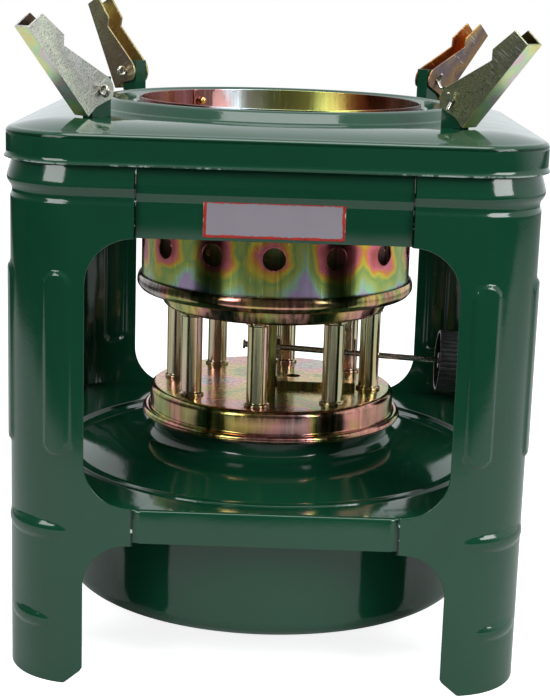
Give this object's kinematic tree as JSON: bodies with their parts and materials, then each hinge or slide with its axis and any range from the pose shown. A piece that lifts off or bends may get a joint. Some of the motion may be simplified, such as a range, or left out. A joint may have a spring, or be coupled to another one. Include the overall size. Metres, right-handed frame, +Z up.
{
  "type": "kerosene stove",
  "caption": "Square tabletop kerosene stove on corner legs, with a wick burner over a round tank, a wick knob and folding pot supports.",
  "frame": {"origin": "centre of the footprint on the floor", "axes": "+Z up, -Y towards the front with the name plate, +X towards the knob"},
  "size_m": [0.2418, 0.2418, 0.3042],
  "materials": {
    "green_enamel": "gloss",
    "zinc_plate": "satin",
    "bright_wire": "polished",
    "black_plastic": "satin",
    "label_sheet": "satin",
    "cotton": "woven"
  },
  "bodies": {
    "stove_body": {"top_plate": "green_enamel", "rear_right_leg": "green_enamel", "rear_left_leg": "green_enamel", "front_left_leg": "green_enamel", "front_right_leg": "green_enamel", "upper_band": "green_enamel", "name_plate": "label_sheet", "tank_pan": "green_enamel", "tank_bowl": "green_enamel", "filler_neck": "green_enamel", "burner_base": "zinc_plate", "wick_tubes": "zinc_plate", "gallery_dish": "zinc_plate", "drum_tray": "zinc_plate", "shaft_bracket": "zinc_plate", "rear_right_support_bracket": "green_enamel", "rear_left_support_bracket": "green_enamel", "front_left_support_bracket": "green_enamel", "front_right_support_bracket": "green_enamel", "rear_right_split_pin": "bright_wire", "rear_left_split_pin": "bright_wire", "front_left_split_pin": "bright_wire", "front_right_split_pin": "bright_wire"},
    "burner_drum": {"outer_drum": "zinc_plate", "drum_rivets": "zinc_plate", "outer_flame_sleeve": "zinc_plate", "inner_flame_sleeve": "zinc_plate", "flame_spreader": "zinc_plate", "drum_top_ring": "zinc_plate", "sleeve_cross_pins": "bright_wire"},
    "wick_control": {"control_shaft": "bright_wire", "pinion": "bright_wire", "control_knob": "black_plastic"},
    "wick_lift": {"wick_rack": "zinc_plate", "wick_carrier": "zinc_plate", "wick_clamps": "zinc_plate", "wicks": "cotton"},
    "filler_cap": {"filler_cap": "zinc_plate"},
    "rear_right_support": {"rear_right_pot_support": "zinc_plate"},
    "rear_left_support": {"rear_left_pot_support": "zinc_plate"},
    "front_left_support": {"front_left_pot_support": "zinc_plate"},
    "front_right_support": {"front_right_pot_support": "zinc_plate"}
  },
  "joints": [
    {"name": "knob_turn", "type": "hinge", "parent": "stove_body", "child": "wick_control", "pos_m": [0, 0.0025, 0.1336], "axis": [-0.9986, 0, 0.0523], "range_deg": [0, 229.2]},
    {"name": "wick_raise", "type": "slide", "parent": "stove_body", "child": "wick_lift", "axis": [0, 0, 1], "range_m": [0, 0.02]},
    {"name": "drum_lift", "type": "slide", "parent": "stove_body", "child": "burner_drum", "axis": [0, 0, 1], "range_m": [0, 0.115]},
    {"name": "filler_cap_off", "type": "slide", "parent": "stove_body", "child": "filler_cap", "axis": [0, 0, 1], "range_m": [0, 0.03]},
    {"name": "rear_right_support_fold", "type": "hinge", "parent": "stove_body", "child": "rear_right_support", "pos_m": [0.07968, 0.07968, 0.26574], "axis": [0.7071, -0.7071, 0], "range_deg": [0, 135]},
    {"name": "rear_left_support_fold", "type": "hinge", "parent": "stove_body", "child": "rear_left_support", "pos_m": [-0.08074, 0.08074, 0.26574], "axis": [0.7071, 0.7071, 0], "range_deg": [-16, 119]},
    {"name": "front_left_support_fold", "type": "hinge", "parent": "stove_body", "child": "front_left_support", "pos_m": [-0.0818, -0.0818, 0.26574], "axis": [-0.7071, 0.7071, 0], "range_deg": [-5, 130]},
    {"name": "front_right_support_fold", "type": "hinge", "parent": "stove_body", "child": "front_right_support", "pos_m": [0.07968, -0.07968, 0.26574], "axis": [-0.7071, -0.7071, 0], "range_deg": [-3.5, 131.5]}
  ],
  "couplings": [
    {"joint": "knob_turn", "follows": "wick_raise", "rad_per_m": 200}
  ]
}
